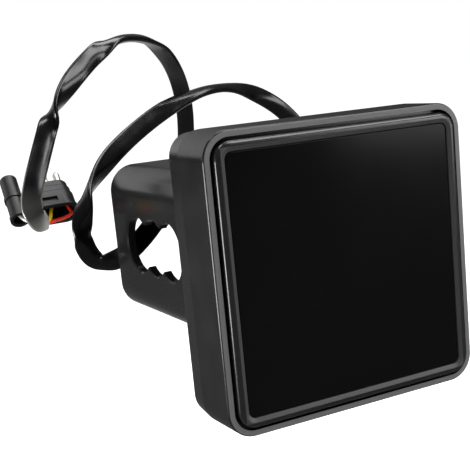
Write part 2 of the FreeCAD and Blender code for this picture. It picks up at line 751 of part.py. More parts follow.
def make_screws(name, pitch, seat, head, height, shaft, length, forward):
    """Four cross-head screws at the corners of a square, as one node of four solids.
    The head's underside is at seat, and forward says which way the shaft runs from it."""
    made = []
    for number, (x, z) in enumerate(corners(pitch), start=1):
        stem = name + "_%d" % number
        cap = primitive(
            "Cylinder", stem + "_cap", Radius="%s / 2" % head, Height="%s * %s" % (height, HEAD_STRAIGHT)
        )
        slope = primitive("Cone", stem + "_slope", Height="%s * (1 - %s)" % (height, HEAD_STRAIGHT))
        rod = primitive("Cylinder", stem + "_rod", Radius="%s / 2" % shaft, Height=length)
        wide, narrow = "%s / 2" % head, "%s * %s" % (head, HEAD_TOP)
        if forward:
            slope.setExpression("Radius1", narrow)
            slope.setExpression("Radius2", wide)
            turn_forward(cap, x, "%s - %s * %s" % (seat, height, HEAD_STRAIGHT), z)
            turn_forward(slope, x, "%s - %s" % (seat, height), z)
            turn_forward(rod, x, seat, z)
            cross_start = "%s - %s * (1 + %s)" % (seat, height, CROSS_ABOVE)
        else:
            slope.setExpression("Radius1", wide)
            slope.setExpression("Radius2", narrow)
            turn_forward(cap, x, seat, z)
            turn_forward(slope, x, "%s + %s * %s" % (seat, height, HEAD_STRAIGHT), z)
            turn_forward(rod, x, "%s - %s" % (seat, length), z)
            cross_start = "%s + %s * (1 - %s)" % (seat, height, CROSS_DEPTH)
        reach, width = "(%s * %s)" % (head, CROSS_REACH), "(%s * %s)" % (head, CROSS_WIDTH)
        blades = []
        for turn, across, up in (("flat", reach, width), ("upright", width, reach)):
            blade = primitive(
                "Box",
                stem + "_" + turn,
                Length=across,
                Width=up,
                Height="%s * (%s + %s)" % (height, CROSS_DEPTH, CROSS_ABOVE),
            )
            turn_forward(blade, "%s - %s / 2" % (x, across), cross_start, "%s - %s / 2" % (z, up))
            blades.append(blade)
        whole = doc.addObject("Part::MultiFuse", stem + "_blank")
        whole.Shapes = [cap, slope, rod]
        cross = doc.addObject("Part::MultiFuse", stem + "_cross")
        cross.Shapes = blades
        screw = doc.addObject("Part::Cut", stem)
        screw.Base = whole
        screw.Tool = cross
        made.append(screw)
    group = doc.addObject("Part::Compound", name)
    group.Links = made
    group.Label = name
    nodes.append(group)


def make_grommet():
    """The rubber grommet in the back plate, with a flange each side and a tapered nose."""
    body = new_body("lead_grommet")
    flange = circle_sketch(
        body, "inner_flange", "Sizes.plate_thickness", [("0", "0")], "Sizes.grommet_flange"
    )
    pad(body, flange, "Sizes.grommet_inner_flange")
    neck = circle_sketch(
        body,
        "grommet_neck",
        "Sizes.plate_thickness",
        [("0", "0")],
        "Sizes.grommet_hole - 2 * Sizes.grommet_fit",
    )
    pad(body, neck, "Sizes.plate_thickness", backwards=True)
    outer = circle_sketch(body, "outer_flange", "0", [("0", "0")], "Sizes.grommet_flange")
    pad(body, outer, "Sizes.grommet_outer_flange", backwards=True)
    nose_root = circle_sketch(
        body, "nose_root", "-Sizes.grommet_outer_flange", [("0", "0")], "Sizes.grommet_hole"
    )
    nose_end = circle_sketch(
        body,
        "nose_end",
        "-(Sizes.grommet_outer_flange + Sizes.grommet_nose)",
        [("0", "0")],
        "Sizes.grommet_nose_end",
    )
    loft(body, "AdditiveLoft", "grommet_nose", nose_root, nose_end)
    slot = new_sketch(
        body, "lead_slot", "XZ_Plane", "Sizes.plate_thickness + Sizes.grommet_inner_flange"
    )
    draw_flat_hole(
        slot,
        "Sizes.lead_width + 2 * Sizes.lead_clearance",
        "Sizes.lead_thickness + 2 * Sizes.lead_clearance",
    )
    pocket(
        body,
        slot,
        "Sizes.plate_thickness + Sizes.grommet_inner_flange + Sizes.grommet_outer_flange"
        " + Sizes.grommet_nose",
    )


def rounded_path(points, name):
    """Straight runs joined by tangent arcs as large as the runs allow, and their whole length."""
    edges = []
    radii = []
    start = points[0]
    for before, corner, after in zip(points, points[1:], points[2:]):
        back = (before - corner).normalize()
        on = (after - corner).normalize()
        half_turn = (math.pi - back.getAngle(on)) / 2
        reach = 0.45 * min((corner - before).Length, (after - corner).Length)
        radius = reach / math.tan(half_turn)
        radii.append(radius)
        middle_way = (back + on).normalize()
        middle = corner + middle_way * (radius / math.cos(half_turn) - radius)
        arc_start = corner + back * reach
        arc_end = corner + on * reach
        edges.append(Part.LineSegment(start, arc_start).toShape())
        edges.append(Part.Arc(arc_start, middle, arc_end).toShape())
        start = arc_end
    edges.append(Part.LineSegment(start, points[-1]).toShape())
    path = Part.Wire(edges)
    print(name, "length %.1f, arc radii" % path.Length, " ".join("%.1f" % r for r in radii))
    return path


def carried(direction, points):
    """Where a direction across a swept cord points at the end of its route."""
    for before, corner, after in zip(points, points[1:], points[2:]):
        direction = FreeCAD.Rotation(corner - before, after - corner).multVec(direction)
    return direction


def swept(name, points, section, area):
    """A cord's solid: its section swept along its rounded route, as a node of its own."""
    path = rounded_path(points, name)
    solid = path.makePipeShell([section], True, False)
    share = solid.Volume / (area * path.Length)
    print(name, "volume over section times length %.3f" % share)
    node = doc.addObject("Part::Feature", name)
    node.Shape = solid
    node.Label = name
    nodes.append(node)
    return node


def round_section(centre, direction, diameter):
    circle = Part.Circle(centre, direction, diameter / 2)
    return Part.Wire([circle.toShape()])


def make_lead():
    """The flat lead: four wires in one flattened sleeve."""
    points = [FreeCAD.Vector(*p) for p in LEAD_ROUTE]
    wide = size("Sizes.lead_width")
    thick = size("Sizes.lead_thickness")
    half = (wide - thick) / 2
    r = thick / 2
    vec = FreeCAD.Vector
    y = points[0].y
    outline = [
        Part.LineSegment(vec(-half, y, r), vec(half, y, r)),
        Part.Arc(vec(half, y, r), vec(half + r, y, 0), vec(half, y, -r)),
        Part.LineSegment(vec(half, y, -r), vec(-half, y, -r)),
        Part.Arc(vec(-half, y, -r), vec(-half - r, y, 0), vec(-half, y, r)),
    ]
    section = Part.Wire([edge.toShape() for edge in outline])
    area = (wide - thick) * thick + math.pi * r * r
    swept("lead", points, section, area)
    return points


def make_board_wires(lead_points):
    """The four wires from the lead's inner end to their pads on the board's back."""
    start_y = lead_points[0].y
    pad_y = -size(BOARD_BACK)
    pitch = size("Sizes.wire_pitch")
    spread = size("Sizes.pad_pitch")
    diameter = size("Sizes.wire")
    reach = start_y - pad_y
    for name, step in (("red", -1.5), ("yellow", -0.5), ("brown", 0.5), ("white", 1.5)):
        a = FreeCAD.Vector(step * pitch, start_y, 0)
        b = FreeCAD.Vector(step * spread, pad_y, 0)
        points = [
            a,
            a - FreeCAD.Vector(0, reach * 0.35, 0),
            b + FreeCAD.Vector(0, reach * 0.35, 0),
            b,
        ]
        section = round_section(a, FreeCAD.Vector(0, 1, 0), diameter)
        swept("board_wire_" + name, points, section, math.pi * diameter**2 / 4)


def plug_placement():
    pins = FreeCAD.Vector(*PLUG_PINS_POINT)
    width = FreeCAD.Vector(*PLUG_WIDTH_RUNS)
    turn = FreeCAD.Rotation(width, pins.cross(width), pins, "ZXY")
    return FreeCAD.Placement(FreeCAD.Vector(*PLUG_PLACE), turn)


def make_plug(placement):
    """The flat plug: an oval shell with three bare pins, and a shrouded socket beside it."""
    body = new_body("plug_shell")
    shell = new_sketch(body, "shell_outline", "XY_Plane", "0")
    draw_flat_hole(shell, "Sizes.plug_wide", "Sizes.plug_thick", "Sizes.plug_centre")
    pad(body, shell, "Sizes.plug_long - 2 * Sizes.plug_step_long")
    for number in (1, 2):
        step = new_sketch(
            body,
            "shell_step_%d" % number,
            "XY_Plane",
            "Sizes.plug_long - %d * Sizes.plug_step_long" % (3 - number),
        )
        draw_flat_hole(
            step,
            "Sizes.plug_wide - %d * Sizes.plug_step" % (2 * number),
            "Sizes.plug_thick - %d * Sizes.plug_step" % (2 * number),
            "Sizes.plug_centre",
        )
        step_pad = pad(body, step, "Sizes.plug_step_long")
    doc.recompute()
    end = size("Sizes.plug_long")
    names = [
        "Edge%d" % number
        for number, edge in enumerate(step_pad.Shape.Edges, start=1)
        if abs(edge.BoundBox.ZMin - end) < 0.001
    ]
    round_edges(body, "shell_edge", step_pad, names, "Sizes.plug_edge_round")
    for number in (1, 2):
        groove = new_sketch(
            body,
            "shell_groove_%d" % number,
            "XY_Plane",
            "Sizes.plug_long - %d * Sizes.plug_step_long" % (3 - number),
        )
        inset = " - %d * Sizes.plug_step - 2 * Sizes.plug_groove_depth" % (2 * number)
        for extent in (" + 2 * Sizes.plug_rim", inset):
            draw_flat_hole(
                groove, "Sizes.plug_wide" + extent, "Sizes.plug_thick" + extent, "Sizes.plug_centre"
            )
        pocket(body, groove, "Sizes.plug_groove_long")
    rim = new_sketch(body, "shell_rim", "XY_Plane", "0")
    draw_flat_hole(
        rim,
        "Sizes.plug_wide + 2 * Sizes.plug_rim",
        "Sizes.plug_thick + 2 * Sizes.plug_rim",
        "Sizes.plug_centre",
    )
    pad(body, rim, "Sizes.plug_rim_long")
    web = new_sketch(body, "plug_web", "XY_Plane", "0")
    draw_box(
        web,
        "0",
        "Sizes.plug_centre - Sizes.plug_wide / 2 + Sizes.plug_mouth_wall",
        "-Sizes.plug_web_thick / 2",
        "Sizes.plug_web_thick / 2",
    )
    pad(body, web, "Sizes.plug_web_long")
    barrel = new_sketch(body, "barrel_outline", "XY_Plane", "0")
    draw_circles(barrel, [("0", "0")], "Sizes.barrel")
    pad(body, barrel, "Sizes.barrel_long")
    for name, start, long in (
        ("barrel_band", "Sizes.barrel_band_start", "Sizes.barrel_band_long"),
        ("barrel_rim", "0", "Sizes.plug_rim_long"),
    ):
        band = new_sketch(body, name, "XY_Plane", start)
        draw_circles(band, [("0", "0")], "Sizes.barrel + 2 * Sizes.barrel_band")
        pad(body, band, long)
    mouth = new_sketch(body, "shell_mouth", "XY_Plane", "0")
    draw_flat_hole(
        mouth,
        "Sizes.plug_wide - 2 * Sizes.plug_mouth_wall",
        "Sizes.plug_thick - 2 * Sizes.plug_mouth_wall",
        "Sizes.plug_centre",
    )
    pocket(body, mouth, "Sizes.plug_mouth_depth", forwards=True)
    barrel_mouth = new_sketch(body, "barrel_mouth", "XY_Plane", "0")
    draw_circles(barrel_mouth, [("0", "0")], "Sizes.barrel_mouth")
    pocket(body, barrel_mouth, "Sizes.barrel_mouth_depth", forwards=True)
    bore = new_sketch(body, "barrel_bore", "XY_Plane", "Sizes.barrel_long")
    draw_circles(bore, [("0", "0")], "Sizes.barrel_bore")
    pocket(body, bore, "Sizes.barrel_bore_depth")
    tail = new_sketch(body, "contact_hole", "XY_Plane", "Sizes.barrel_long")
    draw_circles(tail, [("0", "0")], "Sizes.pin + 2 * Sizes.pin_fit")
    pocket(body, tail, "Sizes.barrel_long")
    holes = new_sketch(body, "pin_passages", "XY_Plane", "Sizes.plug_long")
    draw_circles(holes, pin_places(), "Sizes.pin + 2 * Sizes.pin_fit")
    pocket(body, holes, "Sizes.plug_long")
    window = new_sketch(body, "shell_window", "XZ_Plane", "Sizes.plug_thick / 2")
    draw_box(
        window,
        "Sizes.plug_centre - Sizes.plug_window_offset - Sizes.plug_window_wide / 2",
        "Sizes.plug_centre - Sizes.plug_window_offset + Sizes.plug_window_wide / 2",
        "Sizes.plug_window_place",
        "Sizes.plug_window_place + Sizes.plug_window_long",
    )
    pocket(body, window, "Sizes.plug_window_depth")
    body.Placement = placement


def pin_places():
    return [("Sizes.plug_centre + %d * Sizes.pin_pitch" % step, "0") for step in (-1, 0, 1)]


def along_plug(placement, x, start):
    """The placement of a primitive that stands in the plug, on the plug's own axes."""
    return placement.multiply(FreeCAD.Placement(FreeCAD.Vector(x, 0, start), FreeCAD.Rotation()))


def make_contacts(placement):
    """The three bare pins in the shell, and the socket in the barrel."""
    pin_start = "Sizes.plug_mouth_depth - Sizes.pin_tail"
    for number, (x, _) in enumerate(pin_places(), start=1):
        name = "plug_pin_%d" % number
        rod = primitive(
            "Cylinder",
            name + "_rod",
            Radius="Sizes.pin / 2",
            Height="Sizes.plug_long + Sizes.pin_stand - (%s) - Sizes.pin * %s" % (pin_start, TIP_LENGTH),
        )
        rod.Placement = along_plug(placement, size(x), size(pin_start))
        tip = primitive(
            "Cone",
            name + "_tip",
            Radius1="Sizes.pin / 2",
            Radius2="Sizes.pin * %s" % TIP_RADIUS,
            Height="Sizes.pin * %s" % TIP_LENGTH,
        )
        tip_start = size("Sizes.plug_long + Sizes.pin_stand - Sizes.pin * %s" % TIP_LENGTH)
        tip.Placement = along_plug(placement, size(x), tip_start)
        pin = doc.addObject("Part::MultiFuse", name)
        pin.Shapes = [rod, tip]
        pin.Label = name
        nodes.append(pin)
    floor = "(Sizes.barrel_long - Sizes.barrel_bore_depth)"
    cup = primitive(
        "Cylinder",
        "socket_cup",
        Radius="Sizes.barrel_bore / 2 - Sizes.pin_fit",
        Height="Sizes.barrel_bore_depth - Sizes.pin_tail",
    )
    cup.Placement = along_plug(placement, 0, size(floor))
    tail = primitive(
        "Cylinder",
        "socket_tail",
        Radius="Sizes.pin / 2",
        Height="%s - Sizes.barrel_mouth_depth + Sizes.pin_tail" % floor,
    )
    tail.Placement = along_plug(placement, 0, size("Sizes.barrel_mouth_depth - Sizes.pin_tail"))
    hole = primitive(
        "Cylinder",
        "socket_hole",
        Radius="Sizes.pin / 2 + Sizes.pin_fit",
        Height="Sizes.barrel_bore_depth",
    )
    hole.Placement = along_plug(placement, 0, size(floor + " + Sizes.pin_tail"))
    whole = doc.addObject("Part::MultiFuse", "socket_blank")
    whole.Shapes = [cup, tail]
    socket = doc.addObject("Part::Cut", "barrel_socket")
    socket.Base = whole
    socket.Tool = hole
    socket.Label = "barrel_socket"
    nodes.append(socket)


def make_plug_wires(placement, lead_points):
    """The four wires from the lead's outer end to the plug's pins and its socket."""
    diameter = size("Sizes.wire")
    pitch = size("Sizes.wire_pitch")
    straight = size("Sizes.wire_straight")
    end_straight = FreeCAD.Vector(0, 0, size("Sizes.wire_end_straight"))
    end = lead_points[-1]
    run = (lead_points[-1] - lead_points[-2]).normalize()
    across = carried(FreeCAD.Vector(1, 0, 0), lead_points)
    for name, place, bends, pin_number in PLUG_WIRES:
        if pin_number is None:
            goal = FreeCAD.Vector(0, 0, size("Sizes.barrel_mouth_depth - Sizes.pin_tail"))
        else:
            x = size("Sizes.plug_centre + %d * Sizes.pin_pitch" % pin_number)
            goal = FreeCAD.Vector(x, 0, size("Sizes.plug_mouth_depth - Sizes.pin_tail"))
        start = end + across * (place * pitch)
        bent = [FreeCAD.Vector(*bend) for bend in bends] + [goal - end_straight, goal]
        points = [start, start + run * straight] + [placement.multVec(p) for p in bent]
        section = round_section(start, run, diameter)
        swept("plug_wire_" + name, points, section, math.pi * diameter**2 / 4)


def check_and_write():
    """Every feature has to be whole, every cut has to cut, and every node is written."""
    doc.recompute()
    for thing in doc.Objects:
        if "Invalid" in thing.State or "Error" in thing.State:
            raise RuntimeError("%s failed: %s" % (thing.Name, thing.State))
        if thing.TypeId in ("PartDesign::Pocket", "PartDesign::Groove", "PartDesign::SubtractiveLoft"):
            if thing.Shape.Volume > thing.BaseFeature.Shape.Volume - 0.01:
                raise RuntimeError("%s cuts nothing" % thing.Name)
    os.makedirs("parts", exist_ok=True)
    for node in nodes:
        shape = node.Shape
        if shape.isNull() or not shape.isValid():
            raise RuntimeError("%s isn't a valid shape" % node.Label)
    for node in nodes:
        node.Shape.exportStep("parts/%s.step" % node.Label)
        print("%-18s solids %d volume %.1f" % (node.Label, len(node.Shape.Solids), node.Shape.Volume))


make_rear_shell()
make_front_housing()
make_bezel()
make_lens()
make_body_gasket()
make_board()
led_places = [(c, r) for r in (1, 0, -1) for c in (-1.5, -0.5, 0.5, 1.5)]
for number, (column, row) in enumerate(led_places, start=1):
    make_led(number, column, row)
for number, (a, b) in enumerate([("-", ""), ("", ""), ("-", "-"), ("", "-")], start=1):
    make_chip(
        "resistor_%d" % number,
        "Sizes.resistor_long",
        "Sizes.resistor_wide",
        "Sizes.resistor_high",
        a + "Sizes.resistor_place_x",
        b + "Sizes.resistor_place_z",
    )
for number, sign in ((1, ""), (2, "-")):
    make_chip(
        "diode_%d" % number,
        "Sizes.diode_long",
        "Sizes.diode_wide",
        "Sizes.diode_high",
        "0",
        sign + "Sizes.diode_place_z",
    )
make_screws(
    "housing_screws",
    SCREW_PITCH,
    "Sizes.screw_head_pocket_depth",
    "Sizes.screw_head",
    "Sizes.screw_head_height",
    "(Sizes.screw_pilot - Sizes.screw_fit)",
    "Sizes.screw_length",
    forward=True,
)
make_screws(
    "board_screws",
    BOARD_SCREW_PITCH,
    BOARD_FRONT,
    "Sizes.board_screw_head",
    "Sizes.board_screw_head_height",
    "(Sizes.board_pilot - Sizes.screw_fit)",
    "Sizes.board_screw_length",
    forward=False,
)
make_grommet()
lead_points = make_lead()
make_board_wires(lead_points)
placement = plug_placement()
make_plug(placement)
make_contacts(placement)
make_plug_wires(placement, lead_points)
check_and_write()
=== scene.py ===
import math

import bpy
from mathutils import Matrix, Vector


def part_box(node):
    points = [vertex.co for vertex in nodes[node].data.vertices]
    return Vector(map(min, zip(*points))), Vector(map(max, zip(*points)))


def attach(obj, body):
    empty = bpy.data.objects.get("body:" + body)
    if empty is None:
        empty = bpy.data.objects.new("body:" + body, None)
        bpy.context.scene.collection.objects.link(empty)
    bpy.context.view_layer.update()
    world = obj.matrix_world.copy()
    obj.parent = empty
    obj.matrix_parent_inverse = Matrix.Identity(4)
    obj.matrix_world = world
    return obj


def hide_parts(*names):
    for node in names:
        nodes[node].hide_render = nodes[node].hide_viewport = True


# A brake light that plugs a towing hitch receiver: a square light on a hollow shank, and a
# flat lead that comes out of the shank, loops behind the light and ends in a flat plug.
# +Z is up, -Y is the lit face and +Y runs along the shank. All sizes are in metres.

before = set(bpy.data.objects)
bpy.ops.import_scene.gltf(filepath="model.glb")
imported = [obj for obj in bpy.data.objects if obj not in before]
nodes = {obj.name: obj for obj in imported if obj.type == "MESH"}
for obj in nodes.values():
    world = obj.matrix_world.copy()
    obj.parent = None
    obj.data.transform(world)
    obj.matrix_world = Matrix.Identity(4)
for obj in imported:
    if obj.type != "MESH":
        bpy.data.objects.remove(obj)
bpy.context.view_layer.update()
scene = bpy.context.scene
scene.view_settings.view_transform = "Standard"

# The camera stands in front of the light, to its left and a little above it, and is turned
# a little off it, so the picture is a shifted crop of a wider view. Its sensor is measured
# in millimetres.
IMAGE_PIXELS = 470
FOCAL_PIXELS = 1034.78
CENTRE_PIXEL = (267.34, 268.45)
SENSOR_WIDTH = 36
CAMERA_PLACE = (-0.1495, -0.2537, 0.0562)
NEAREST_SEEN = 0.01
to_viewer = Vector((-0.466, -0.863, 0.197)).normalized()
to_right = Vector((0.868, -0.489, -0.09)).normalized()
upwards = to_viewer.cross(to_right).normalized()
to_right = upwards.cross(to_viewer)
camera_data = bpy.data.cameras.new("camera")
camera = bpy.data.objects.new("camera", camera_data)
scene.collection.objects.link(camera)
stand = Matrix((to_right, upwards, to_viewer)).transposed().to_4x4()
stand.translation = CAMERA_PLACE
camera.matrix_world = stand
camera_data.sensor_width = SENSOR_WIDTH
camera_data.lens = FOCAL_PIXELS / IMAGE_PIXELS * SENSOR_WIDTH
camera_data.shift_x = (IMAGE_PIXELS / 2 - CENTRE_PIXEL[0]) / IMAGE_PIXELS
camera_data.shift_y = (CENTRE_PIXEL[1] - IMAGE_PIXELS / 2) / IMAGE_PIXELS
camera_data.clip_start = NEAREST_SEEN
scene.camera = camera

# The lead: four wires in one flat black vinyl sleeve, crowned over them. It is held by the
# grommet at one end and limp enough to twist as it lies, and the thin lip of its cut end by
# the plug is stretched pale.
LEAD_ROUTE = [
    (0, -0.005, 0),
    (0, 0.0155, 0),
    (-0.001, 0.031, 0.0115),
    (-0.009, 0.067, 0.016),
    (-0.0135, 0.081, 0.002),
    (-0.0205, 0.091, -0.008),
    (-0.028, 0.095, -0.01),
    (-0.032, 0.0955, -0.0065),
    (-0.0355, 0.0915, 0.001),
    (-0.034, 0.0905, 0.0115),
    (-0.0275, 0.0955, 0.0205),
    (-0.0085, 0.109, 0.032),
    (0.0215, 0.125, 0.044),
    (0.0515, 0.137, 0.048),
    (0.0785, 0.1425, 0.0365),
    (0.094, 0.142, 0.015),
    (0.085, 0.153, -0.0095),
    (0.06, 0.166, -0.0115),
    (0.041, 0.167, 0.013),
    (0.039, 0.155, 0.038),
    (0.028, 0.138, 0.057),
    (0.012, 0.123, 0.0685),
    (-0.008, 0.1115, 0.069),
    (-0.0245, 0.105, 0.0585),
    (-0.0365, 0.103, 0.0455),
    (-0.043, 0.099, 0.033),
    (-0.0495, 0.094, 0.021),
    (-0.0515, 0.0925, 0.0145),
    (-0.0505, 0.092, 0.0105),
    (-0.0485, 0.0945, 0.0082),
    (-0.0455, 0.099, 0.0085),
]
# How far the lead has twisted, in degrees, by these places on its route. A place counts the
# route's points.
LEAD_TWIST = [
    (0.5, 0),
    (1.8, 0),
    (3.5, 37),
    (5.3, 70),
    (6, 34),
    (6.6, 48),
    (7.2, 62),
    (7.6, 60),
    (8, 88),
    (8.5, 48),
    (9, 13),
    (9.5, -36),
    (10, -67),
    (10.5, -99),
    (11, -115),
    (11.6, -113),
    (12, -142),
    (12.5, -161),
    (13, -149),
    (13.5, -93),
    (14, -61),
    (15, -56),
    (19, -54),
    (20, -62),
    (20.5, -61),
    (21, -80),
    (21.5, -77),
    (22, -69),
    (22.5, -137),
    (23, -132),
    (23.5, -162),
    (24, -216),
    (24.4, -300),
    (25, -304),
    (27, -299),
    (28, -320),
    (29.5, -360),
]
ROUTE_ORDER = 3
LEAD_STEPS = 12
LEAD_WIDTH = 0.0072
SLEEVE_HALF_THICKNESS = 0.001
SLEEVE_CROWN = 0.0005
FACE_STEPS = 12
EDGE_STEPS = 8
# The sleeve is thicker here and thinner there, in two waves: each one's share of the
# thickness, its radians to a metre and the angle that it starts at.
SLEEVE_WAVES = [(0.05, 190, 0), (0.03, 433, 1)]
SHARP_ANGLE = math.radians(50)
SLEEVE_BLACK = (0.0014, 0.0015, 0.0019)
STRETCHED_GREY = (0.26, 0.26, 0.245)
# How far from the cut end the sleeve starts to pale and is palest, and how pale: all over
# its lip, along its edges only, and where the lip's stretch runs out.
PALE_LIP = (0.0105, 0.003, 1.0)
PALE_EDGES = (0.03, 0.02, 0.6)
PALE_STRETCH = (0.02, 0.013, 0.1)
# An edge begins, and is all edge, this far from the sleeve's middle.
EDGE_BAND = (0.42 * LEAD_WIDTH, 0.49 * LEAD_WIDTH)


def read_line(name, route, steps):
    """The points of the smooth line that a cord's route controls."""
    curve = bpy.data.curves.new(name, "CURVE")
    curve.dimensions = "3D"
    curve.resolution_u = steps
    spline = curve.splines.new("NURBS")
    spline.points.add(len(route) - 1)
    for point, place in zip(spline.points, route):
        point.co = (*place, 1)
    spline.order_u = ROUTE_ORDER
    spline.use_endpoint_u = True
    holder = bpy.data.objects.new(name, curve)
    scene.collection.objects.link(holder)
    bpy.context.view_layer.update()
    mesh = bpy.data.meshes.new_from_object(holder)
    line = [v.co.copy() for v in mesh.vertices]
    bpy.data.objects.remove(holder)
    bpy.data.meshes.remove(mesh)
    return line


def between(stations, place):
    """A value read smoothly between the stations of a list of (place, value)."""
    if place <= stations[0][0]:
        return stations[0][1]
    for i in range(len(stations) - 1):
        (a, va), (b, vb) = stations[i], stations[i + 1]
        if place <= b:
            before = stations[max(i - 1, 0)]
            after = stations[min(i + 2, len(stations) - 1)]
            slope_a = (vb - before[1]) / (b - before[0]) * (b - a)
            slope_b = (after[1] - va) / (after[0] - a) * (b - a)
            t = (place - a) / (b - a)
            return (
                (2 * t**3 - 3 * t**2 + 1) * va
                + (t**3 - 2 * t**2 + t) * slope_a
                + (3 * t**2 - 2 * t**3) * vb
                + (t**3 - t**2) * slope_b
            )
    return stations[-1][1]


def sleeve_section():
    """The sleeve's outline, as (across, out): two crowned faces between two round edges."""
    flat = LEAD_WIDTH / 2 - SLEEVE_HALF_THICKNESS
    points = []
    for side in (1, -1):
        for i in range(FACE_STEPS + 1):
            share = 1 - 2 * i / FACE_STEPS
            crown = SLEEVE_CROWN * (1 - share**2)
            points.append((side * flat * share, side * (SLEEVE_HALF_THICKNESS + crown)))
        for i in range(1, EDGE_STEPS):
            turn = math.pi * i / EDGE_STEPS
            x = -side * (flat + SLEEVE_HALF_THICKNESS * math.sin(turn))
            points.append((x, side * SLEEVE_HALF_THICKNESS * math.cos(turn)))
    return points


def pick(piece):
    """Selects one piece and no other, for the operators that work on what is selected."""
    bpy.ops.object.select_all(action="DESELECT")
    piece.select_set(True)
    bpy.context.view_layer.objects.active = piece


def turn_out(piece, merge_within=None):
    """Turns a closed mesh's faces outwards and smooths it, except at its sharp edges."""
    pick(piece)
    bpy.ops.object.mode_set(mode="EDIT")
    bpy.ops.mesh.select_all(action="SELECT")
    if merge_within:
        bpy.ops.mesh.remove_doubles(threshold=merge_within)
    bpy.ops.mesh.normals_make_consistent(inside=False)
    bpy.ops.object.mode_set(mode="OBJECT")
    bpy.ops.object.shade_smooth_by_angle(angle=SHARP_ANGLE)


def make_sleeve(name, line, route_length):
    """The flat sleeve along its line, twisted as LEAD_TWIST says, and closed at both ends."""
    section = sleeve_section()
    ring = len(section)
    count = len(line)
    width_way = Vector((1, 0, 0))
    verts, runs, faces = [], [], []
    run = 0.0
    before = (line[1] - line[0]).normalized()
    for i, middle in enumerate(line):
        ahead = (line[min(i + 1, count - 1)] - line[max(i - 1, 0)]).normalized()
        width_way.rotate(before.rotation_difference(ahead))
        before = ahead
        # The line runs from half a point past the route's first to half a point before its last.
        place = 0.5 + i / (count - 1) * (route_length - 2)
        twist = Matrix.Rotation(math.radians(between(LEAD_TWIST, place)), 3, ahead)
        across = twist @ width_way
        out = across.cross(ahead).normalized()
        if i:
            run += (middle - line[i - 1]).length
        swell = 1 + sum(share * math.sin(run * pace + start) for share, pace, start in SLEEVE_WAVES)
        for x, y in section:
            verts.append(middle + across * x + out * (y * swell))
            runs.append(run)
    for i in range(count - 1):
        for j in range(ring):
            k = (j + 1) % ring
            a = i * ring
            faces.append((a + j, a + k, a + ring + k, a + ring + j))
    for start, middle in ((0, line[0]), ((count - 1) * ring, line[-1])):
        verts.append(middle)
        runs.append(runs[start])
        hub = len(verts) - 1
        for j in range(ring):
            pair = (start + j, start + (j + 1) % ring)
            faces.append((hub, *pair) if start else (hub, *reversed(pair)))
    mesh = bpy.data.meshes.new(name)
    mesh.from_pydata(verts, [], faces)
    along = mesh.attributes.new("along", "FLOAT", "POINT")
    along.data.foreach_set("value", runs)
    around = mesh.attributes.new("around", "FLOAT", "POINT")
    around.data.foreach_set("value", [x for x, _ in section] * count + [0, 0])
    mesh.validate()
    mesh.update()
    piece = bpy.data.objects.new(name, mesh)
    scene.collection.objects.link(piece)
    turn_out(piece)
    return piece


class Finish:
    """A material's nodes, joined as they are made."""

    def __init__(self, name):
        self.material = bpy.data.materials.new(name)
        self.material.use_nodes = True
        self.tree = self.material.node_tree
        self.shader = self.tree.nodes["Principled BSDF"]

    def node(self, kind, **settings):
        made = self.tree.nodes.new("ShaderNode" + kind)
        for key, value in settings.items():
            setattr(made, key, value)
        return made

    def join(self, output, target):
        self.tree.links.new(output, target)

    def place(self):
        return self.node("TexCoord").outputs["Object"]

    def attribute(self, name):
        return self.node("Attribute", attribute_name=name).outputs["Fac"]

    def noise(self, scale, detail=3):
        """Soft patches, about so many to a metre, valued round a half."""
        made = self.node("TexNoise")
        made.inputs["Scale"].default_value = scale
        made.inputs["Detail"].default_value = detail
        self.join(self.place(), made.inputs["Vector"])
        return made.outputs["Fac"]

    def spread(self, value, low, high, start=0.35, end=0.65):
        """Goes from low to high as the value goes from start to end, and no further."""
        made = self.node("MapRange")
        for key, number in (("From Min", start), ("From Max", end), ("To Min", low), ("To Max", high)):
            made.inputs[key].default_value = number
        self.join(value, made.inputs["Value"])
        return made.outputs["Result"]

    def mix(self, share, first, second):
        made = self.node("Mix", data_type="RGBA")
        made.inputs["A"].default_value = (*first, 1)
        made.inputs["B"].default_value = (*second, 1)
        self.join(share, made.inputs["Factor"])
        return made.outputs["Result"]

    def reckon(self, operation, first, second):
        """What an operation makes of two values, each a number or another node's output."""
        made = self.node("Math", operation=operation)
        for value, target in zip((first, second), made.inputs):
            if isinstance(value, (int, float)):
                target.default_value = value
            else:
                self.join(value, target)
        return made.outputs["Value"]

    def across(self, axis):
        """How far a place is along one axis of the part."""
        made = self.node("SeparateXYZ")
        self.join(self.place(), made.inputs["Vector"])
        return made.outputs[axis]

    def colour(self, first, second, patches):
        """Colours the piece from first to second in soft patches, so many to a metre."""
        share = self.spread(self.noise(patches), 0, 1)
        self.join(self.mix(share, first, second), self.shader.inputs["Base Color"])

    def gloss(self, smooth, rough, patches):
        """Makes the piece smoother and rougher in soft patches, so many to a metre."""
        roughness = self.spread(self.noise(patches), smooth, rough)
        self.join(roughness, self.shader.inputs["Roughness"])

    def cover(self, share, colour, roughness):
        """Lays another colour and a rougher gloss over the finish where share says: here a painted grey
        sheen.
        """
        for name in ("Base Color", "Roughness"):
            target = self.shader.inputs[name]
            under = target.links[0].from_socket
            made = self.node("Mix", data_type="RGBA" if name == "Base Color" else "FLOAT")
            made.inputs["B"].default_value = (*colour, 1) if name == "Base Color" else roughness
            self.join(share, made.inputs["Factor"])
            self.join(under, made.inputs["A"])
            self.join(made.outputs["Result"], target)

    def bump(self, height, depth):
        made = self.node("Bump")
        made.inputs["Distance"].default_value = depth
        self.join(height, made.inputs["Height"])
        self.join(made.outputs["Normal"], self.shader.inputs["Normal"])

    def set(self, **values):
        """Sets the shader's own values, each under its socket's name in small letters."""
        for key, value in values.items():
            socket = key.replace("_", " ").title().replace("Ior", "IOR")
            self.shader.inputs[socket].default_value = value


